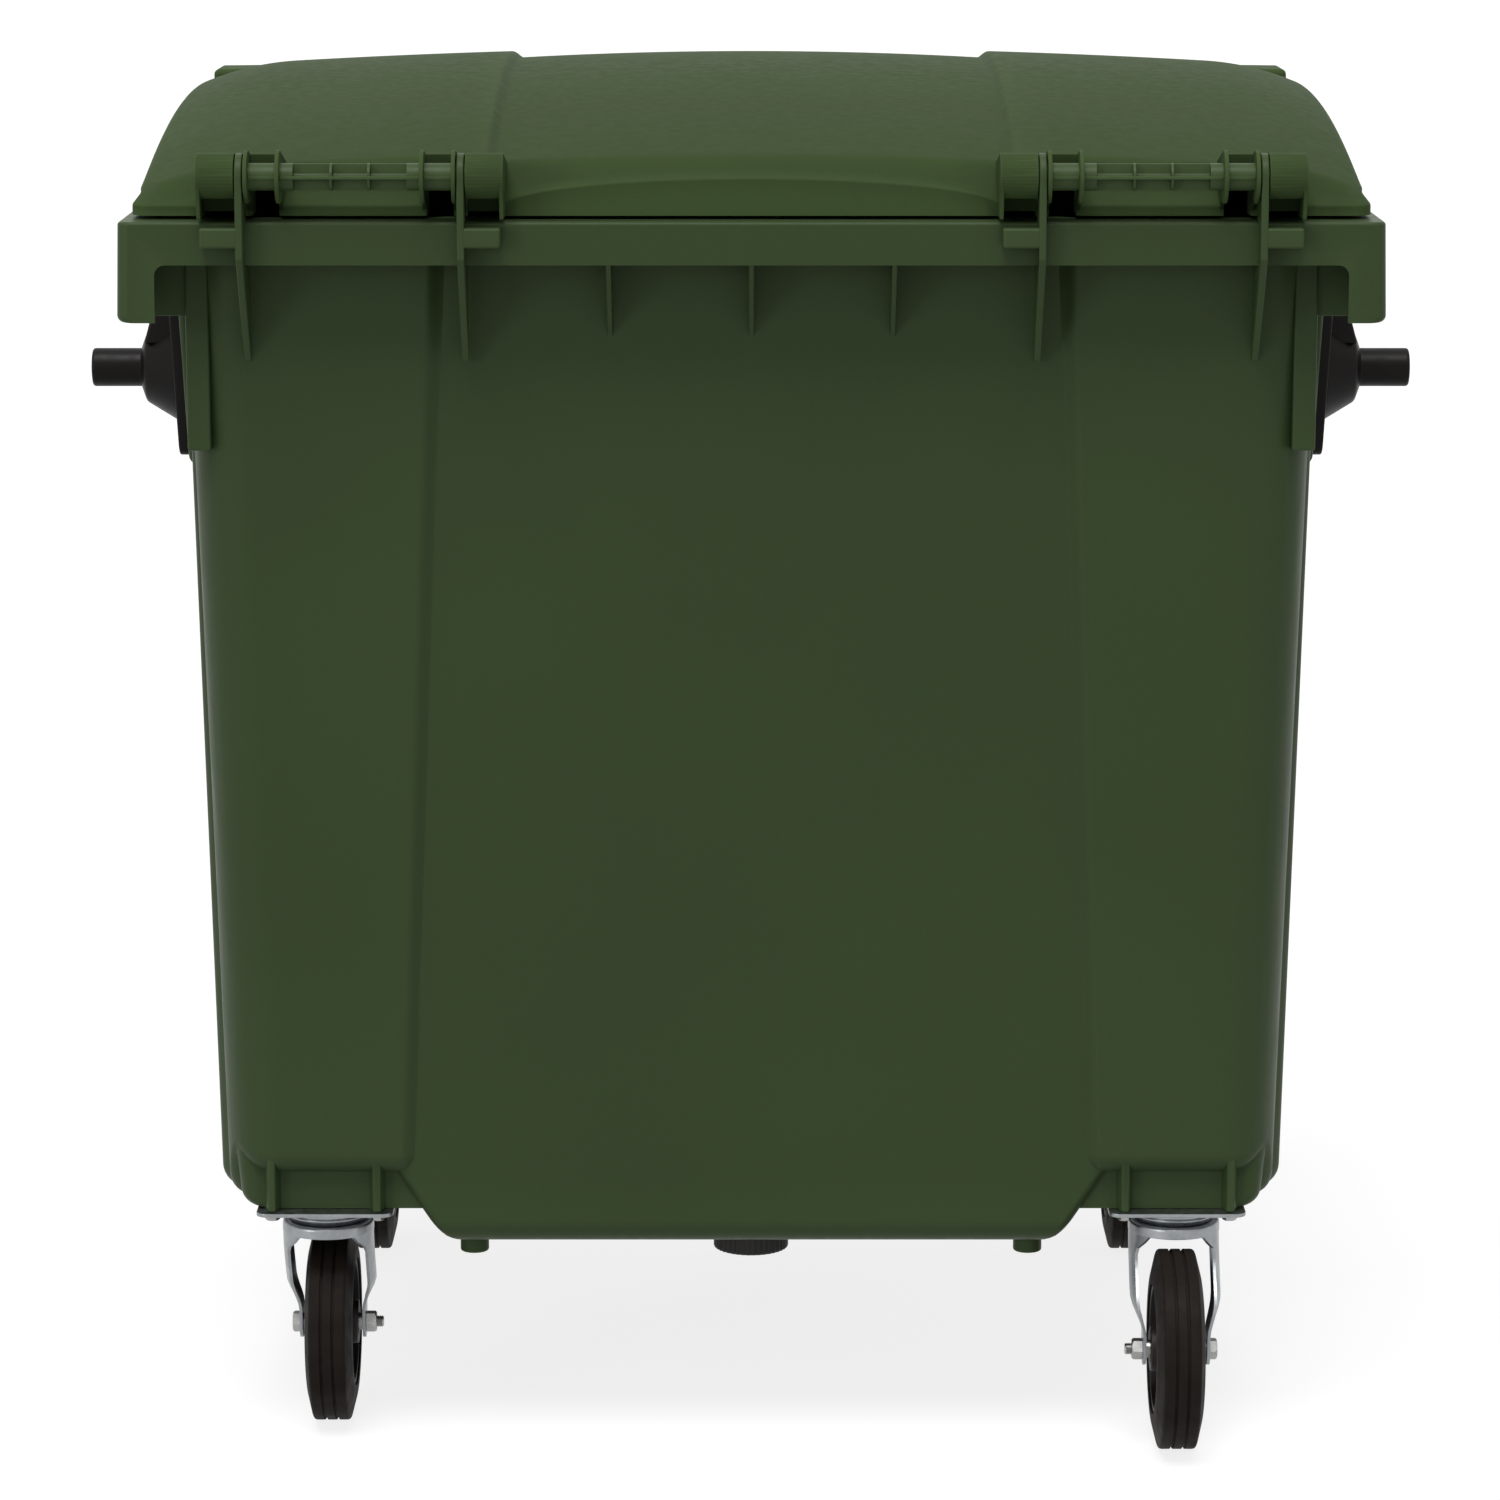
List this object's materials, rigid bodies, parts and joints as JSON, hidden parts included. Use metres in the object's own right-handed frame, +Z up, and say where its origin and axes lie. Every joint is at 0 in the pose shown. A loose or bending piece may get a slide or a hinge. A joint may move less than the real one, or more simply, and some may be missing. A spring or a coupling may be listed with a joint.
{
  "type": "wheeled waste container",
  "caption": "Large wheeled waste container with a domed hinged lid, side lifting trunnions, a drain plug and swivel casters with brakes at the front.",
  "frame": {"origin": "on the floor under the middle of the container", "axes": "+Z up, X along the trunnions with +X to the right seen from the hinge side, +Y from the hinge side to the front"},
  "size_m": [1.3776, 1.0826, 1.3628],
  "materials": {
    "body_plastic": "moulded polyethylene, fine satin grain",
    "lid_plastic": "moulded polyethylene, satin",
    "rod_plastic": "moulded polyamide, satin",
    "trunnion_black": "reinforced black plastic, satin",
    "plug_plastic": "black plastic, satin",
    "seal_rubber": "matte",
    "bolt_steel": "zinc plated",
    "zinc_steel": "zinc plated pressed sheet",
    "tyre_rubber": "solid rubber, fine grain",
    "wheel_plastic": "black moulded plastic",
    "pedal_paint": "powder coated"
  },
  "bodies": {
    "container": {"container_body": "body_plastic", "hinge_rod_left": "rod_plastic", "hinge_rod_right": "rod_plastic", "trunnion_left": "trunnion_black", "trunnion_right": "trunnion_black", "drain_seal": "seal_rubber", "caster_plate_rear_left": "zinc_steel", "swivel_bearing_rear_left": "zinc_steel", "plate_bolt_rear_left_1": "bolt_steel", "plate_bolt_rear_left_2": "bolt_steel", "plate_bolt_rear_left_3": "bolt_steel", "plate_bolt_rear_left_4": "bolt_steel", "caster_plate_rear_right": "zinc_steel", "swivel_bearing_rear_right": "zinc_steel", "plate_bolt_rear_right_1": "bolt_steel", "plate_bolt_rear_right_2": "bolt_steel", "plate_bolt_rear_right_3": "bolt_steel", "plate_bolt_rear_right_4": "bolt_steel", "caster_plate_front_left": "zinc_steel", "swivel_bearing_front_left": "zinc_steel", "plate_bolt_front_left_1": "bolt_steel", "plate_bolt_front_left_2": "bolt_steel", "plate_bolt_front_left_3": "bolt_steel", "plate_bolt_front_left_4": "bolt_steel", "caster_plate_front_right": "zinc_steel", "swivel_bearing_front_right": "zinc_steel", "plate_bolt_front_right_1": "bolt_steel", "plate_bolt_front_right_2": "bolt_steel", "plate_bolt_front_right_3": "bolt_steel", "plate_bolt_front_right_4": "bolt_steel"},
    "lid": {"lid": "lid_plastic"},
    "drain_plug": {"drain_plug": "plug_plastic"},
    "fork_rear_left": {"fork_rear_left": "zinc_steel", "axle_sleeve_rear_left": "bolt_steel", "axle_bolt_rear_left": "bolt_steel", "axle_nut_rear_left": "bolt_steel"},
    "wheel_rear_left": {"wheel_rear_left": "wheel_plastic", "tyre_rear_left": "tyre_rubber"},
    "fork_rear_right": {"fork_rear_right": "zinc_steel", "axle_sleeve_rear_right": "bolt_steel", "axle_bolt_rear_right": "bolt_steel", "axle_nut_rear_right": "bolt_steel"},
    "wheel_rear_right": {"wheel_rear_right": "wheel_plastic", "tyre_rear_right": "tyre_rubber"},
    "fork_front_left": {"fork_front_left": "zinc_steel", "axle_sleeve_front_left": "bolt_steel", "axle_bolt_front_left": "bolt_steel", "axle_nut_front_left": "bolt_steel"},
    "wheel_front_left": {"wheel_front_left": "wheel_plastic", "tyre_front_left": "tyre_rubber"},
    "fork_front_right": {"fork_front_right": "zinc_steel", "axle_sleeve_front_right": "bolt_steel", "axle_bolt_front_right": "bolt_steel", "axle_nut_front_right": "bolt_steel"},
    "wheel_front_right": {"wheel_front_right": "wheel_plastic", "tyre_front_right": "tyre_rubber"},
    "brake_pedal_front_left": {"brake_pedal_front_left": "pedal_paint"},
    "brake_pedal_front_right": {"brake_pedal_front_right": "pedal_paint"}
  },
  "joints": [
    {"name": "lid_hinge", "type": "hinge", "parent": "container", "child": "lid", "pos_m": [0, -0.516, 1.282], "axis": [1, 0, 0], "range_deg": [0, 224]},
    {"name": "drain_plug_turn", "type": "hinge", "parent": "container", "child": "drain_plug", "pos_m": [0, -0.3127, 0.19], "axis": [0, 0, 1], "range_deg": [0, 360]},
    {"name": "swivel_rear_left", "type": "hinge", "parent": "container", "child": "fork_rear_left", "pos_m": [-0.4264, -0.366, 0.23], "axis": [0, 0, 1], "continuous": true},
    {"name": "wheel_spin_rear_left", "type": "hinge", "parent": "fork_rear_left", "child": "wheel_rear_left", "pos_m": [-0.4264, -0.318, 0.1], "axis": [1, 0, 0], "continuous": true},
    {"name": "swivel_rear_right", "type": "hinge", "parent": "container", "child": "fork_rear_right", "pos_m": [0.4264, -0.366, 0.23], "axis": [0, 0, 1], "continuous": true},
    {"name": "wheel_spin_rear_right", "type": "hinge", "parent": "fork_rear_right", "child": "wheel_rear_right", "pos_m": [0.4264, -0.414, 0.1], "axis": [1, 0, 0], "continuous": true},
    {"name": "swivel_front_left", "type": "hinge", "parent": "container", "child": "fork_front_left", "pos_m": [-0.4264, 0.366, 0.23], "axis": [0, 0, 1], "continuous": true},
    {"name": "wheel_spin_front_left", "type": "hinge", "parent": "fork_front_left", "child": "wheel_front_left", "pos_m": [-0.4264, 0.318, 0.1], "axis": [1, 0, 0], "continuous": true},
    {"name": "swivel_front_right", "type": "hinge", "parent": "container", "child": "fork_front_right", "pos_m": [0.4264, 0.366, 0.23], "axis": [0, 0, 1], "continuous": true},
    {"name": "wheel_spin_front_right", "type": "hinge", "parent": "fork_front_right", "child": "wheel_front_right", "pos_m": [0.4264, 0.318, 0.1], "axis": [1, 0, 0], "continuous": true},
    {"name": "brake_pedal_press_front_left", "type": "hinge", "parent": "fork_front_left", "child": "brake_pedal_front_left", "pos_m": [-0.4264, 0.306, 0.2165], "axis": [1, 0, 0], "range_deg": [0, 10]},
    {"name": "brake_pedal_press_front_right", "type": "hinge", "parent": "fork_front_right", "child": "brake_pedal_front_right", "pos_m": [0.4264, 0.306, 0.2165], "axis": [1, 0, 0], "range_deg": [0, 10]}
  ]
}
